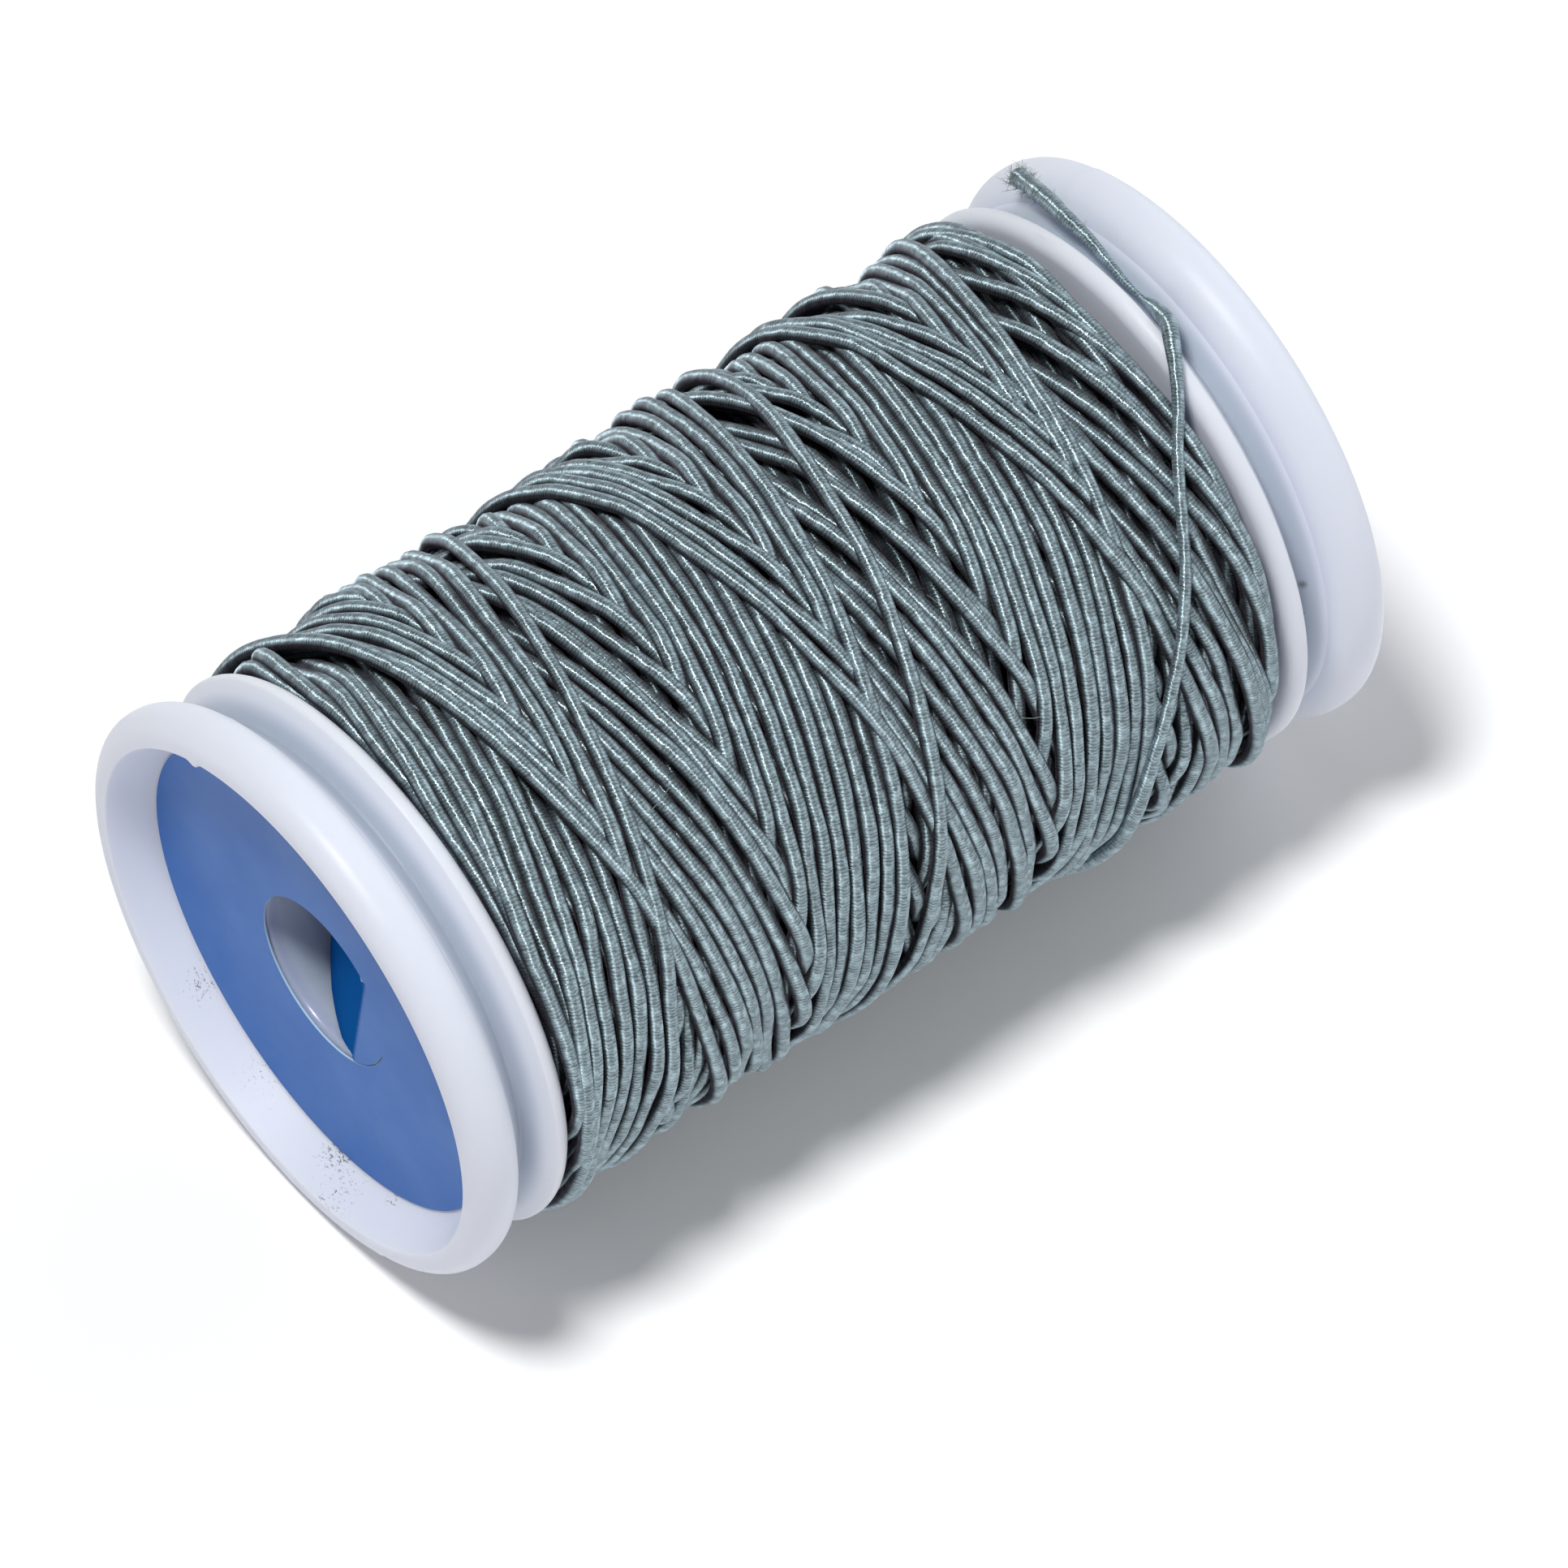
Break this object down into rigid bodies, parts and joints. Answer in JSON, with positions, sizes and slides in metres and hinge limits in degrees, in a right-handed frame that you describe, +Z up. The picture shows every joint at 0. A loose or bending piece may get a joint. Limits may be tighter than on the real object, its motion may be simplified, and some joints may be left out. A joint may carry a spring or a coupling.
{
  "type": "sewing thread spool",
  "caption": "Moulded spool with a through bore, V-grooved flanges and dished ends, wound with covered elastic thread whose free end is held in a groove.",
  "frame": {"origin": "middle of the bore, which is the middle of the spool", "axes": "+Y along the bore towards the unlabelled end, where the thread's end is held; +Z up as the spool lies on its rims"},
  "size_m": [0.0278, 0.05, 0.0278],
  "materials": {
    "spool_plastic": "glossy, slightly translucent bluish white",
    "label_paper": "satin printed paper, plain blue",
    "thread": "shiny filament covering over an elastic core"
  },
  "bodies": {
    "root": {"spool_body": "spool_plastic", "front_label": "label_paper", "thread_core": "thread", "thread_winding": "thread", "thread_tail": "thread"}
  },
  "joints": []
}
